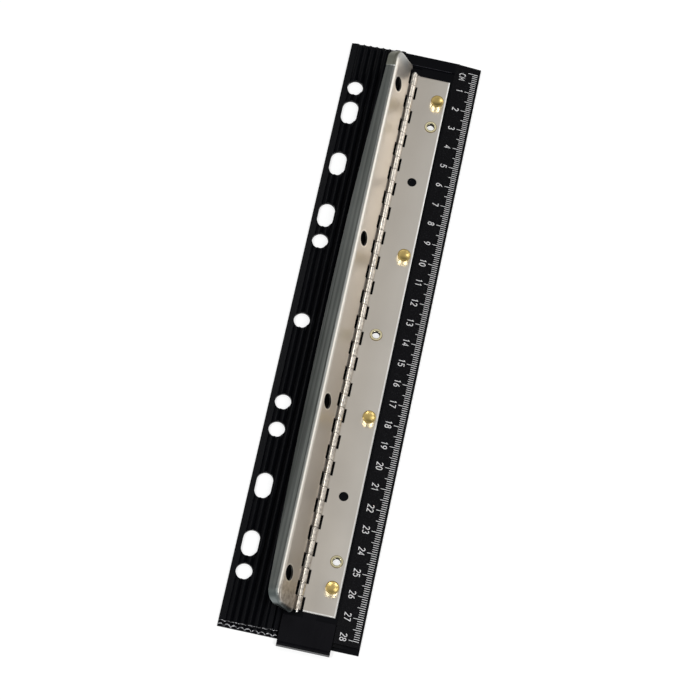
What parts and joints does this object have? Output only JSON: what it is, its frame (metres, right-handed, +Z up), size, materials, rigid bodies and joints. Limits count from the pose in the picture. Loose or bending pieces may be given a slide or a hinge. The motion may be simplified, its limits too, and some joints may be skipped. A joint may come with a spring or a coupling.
{
  "type": "four-hole ring binder punch",
  "caption": "Flat ring-binder hole punch: fluted filing flange, hinged steel lever closing over upright brass punch pins, ruler edge and a sliding paper stop.",
  "frame": {"origin": "on the underside, in the middle of the deck's width and length", "axes": "+Z up from the surface it lies on, +Y along the base and the hinge, from the end with the paper stop to the other end, +X from the filing holes to the ruler edge"},
  "size_m": [0.0624, 0.2922, 0.0192],
  "materials": {
    "base_plastic": "black moulded, fluted",
    "plate_steel": "satin nickel plate",
    "lever_steel": "satin nickel plate",
    "rod_steel": "bright drawn",
    "pin_brass": "turned",
    "eyelet_brass": "rolled, bright",
    "stop_plastic": "black, smooth"
  },
  "bodies": {
    "base": {"base_tray": "base_plastic", "fixed_leaf": "plate_steel", "hinge_rod": "rod_steel", "punch_pin_1": "pin_brass", "punch_pin_2": "pin_brass", "punch_pin_3": "pin_brass", "punch_pin_4": "pin_brass", "eyelet_rear": "eyelet_brass", "eyelet_middle": "eyelet_brass", "eyelet_front": "eyelet_brass"},
    "lever": {"lever": "lever_steel"},
    "stop": {"paper_stop": "stop_plastic"}
  },
  "joints": [
    {"name": "lever_hinge", "type": "hinge", "parent": "base", "child": "lever", "pos_m": [0.0011, 0, 0.00345], "axis": [0, 1, 0], "range_deg": [-30, 119]},
    {"name": "stop_slide", "type": "slide", "parent": "base", "child": "stop", "axis": [0, -1, 0], "range_m": [0, 0.025]}
  ]
}
